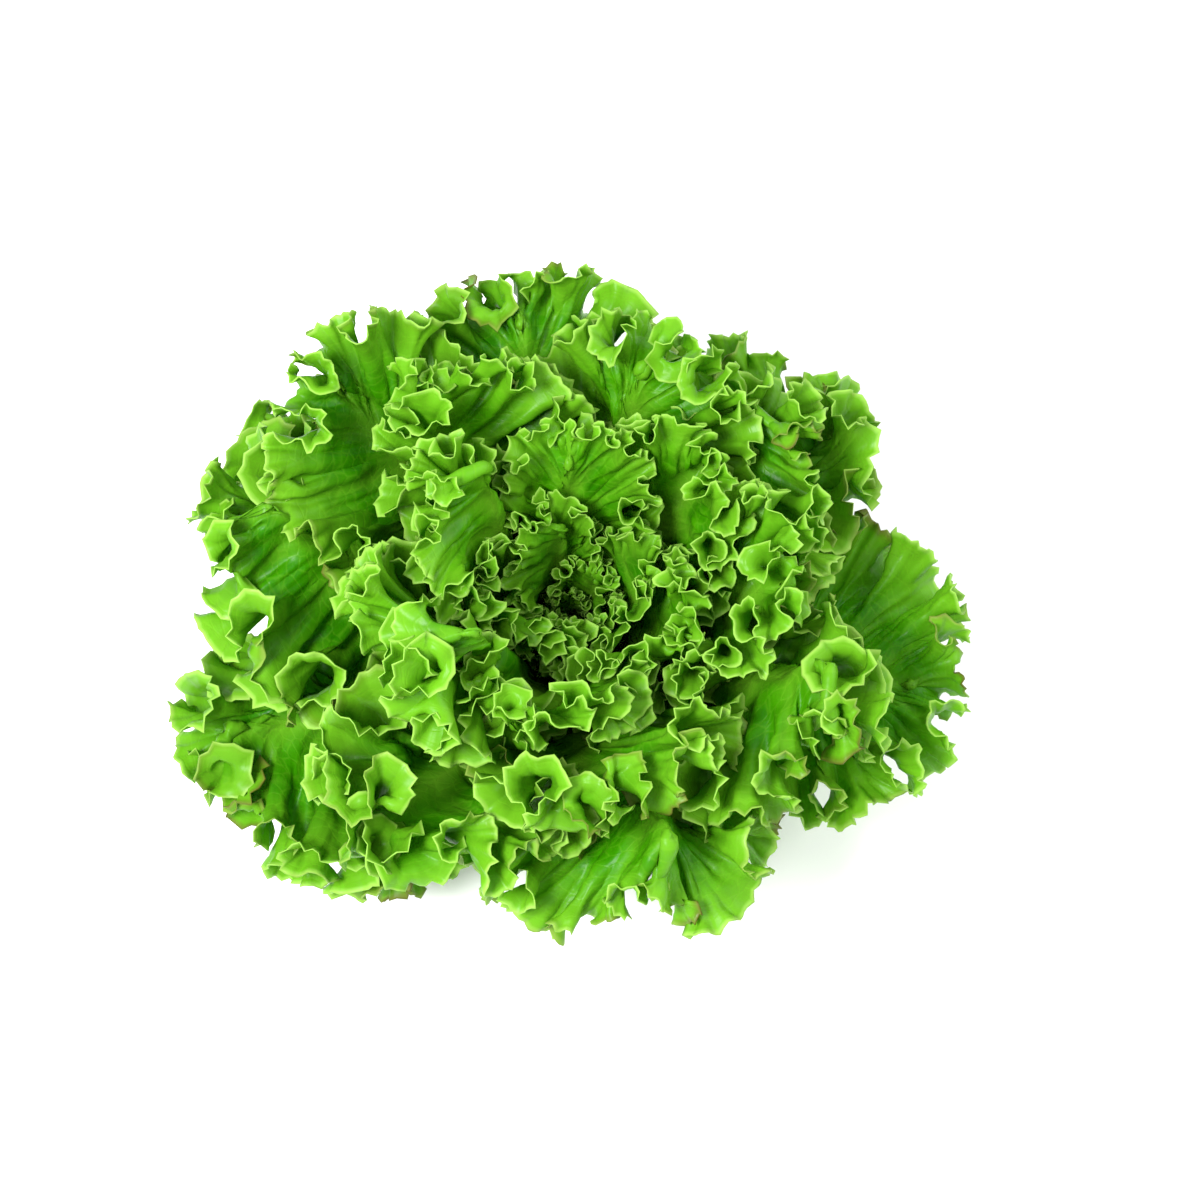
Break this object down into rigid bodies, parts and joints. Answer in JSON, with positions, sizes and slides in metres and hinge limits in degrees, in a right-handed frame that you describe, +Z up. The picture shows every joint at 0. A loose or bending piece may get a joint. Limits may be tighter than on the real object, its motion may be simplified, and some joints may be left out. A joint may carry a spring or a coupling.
{
  "type": "head of lettuce",
  "caption": "Head of frilled loose-leaf lettuce: separate ruffled leaves on a spiral round a short cut stem, standing on the cut face.",
  "frame": {"origin": "centre of the stem's flat cut face, on which the head stands", "axes": "+Z up along the stem, away from the cut face; +X to the right and -Y to the front of the oval rosette"},
  "size_m": [0.2887, 0.2616, 0.1734],
  "materials": {
    "outer_leaf": "satin",
    "middle_leaf": "satin",
    "heart_leaf": "satin",
    "stem": "satin"
  },
  "bodies": {
    "root": {"stem": "stem", "outer_leaf_01": "outer_leaf", "outer_leaf_02": "outer_leaf", "outer_leaf_03": "outer_leaf", "outer_leaf_04": "outer_leaf", "outer_leaf_05": "outer_leaf", "outer_leaf_06": "outer_leaf", "outer_leaf_07": "outer_leaf", "outer_leaf_08": "outer_leaf", "outer_leaf_09": "outer_leaf", "outer_leaf_10": "outer_leaf", "outer_leaf_11": "outer_leaf", "outer_leaf_12": "outer_leaf", "middle_leaf_01": "middle_leaf", "middle_leaf_02": "middle_leaf", "middle_leaf_03": "middle_leaf", "middle_leaf_04": "middle_leaf", "middle_leaf_05": "middle_leaf", "middle_leaf_06": "middle_leaf", "middle_leaf_07": "middle_leaf", "middle_leaf_08": "middle_leaf", "middle_leaf_09": "middle_leaf", "heart_leaf_01": "heart_leaf", "heart_leaf_02": "heart_leaf", "heart_leaf_03": "heart_leaf", "heart_leaf_04": "heart_leaf", "heart_leaf_05": "heart_leaf", "heart_leaf_06": "heart_leaf"}
  },
  "joints": []
}
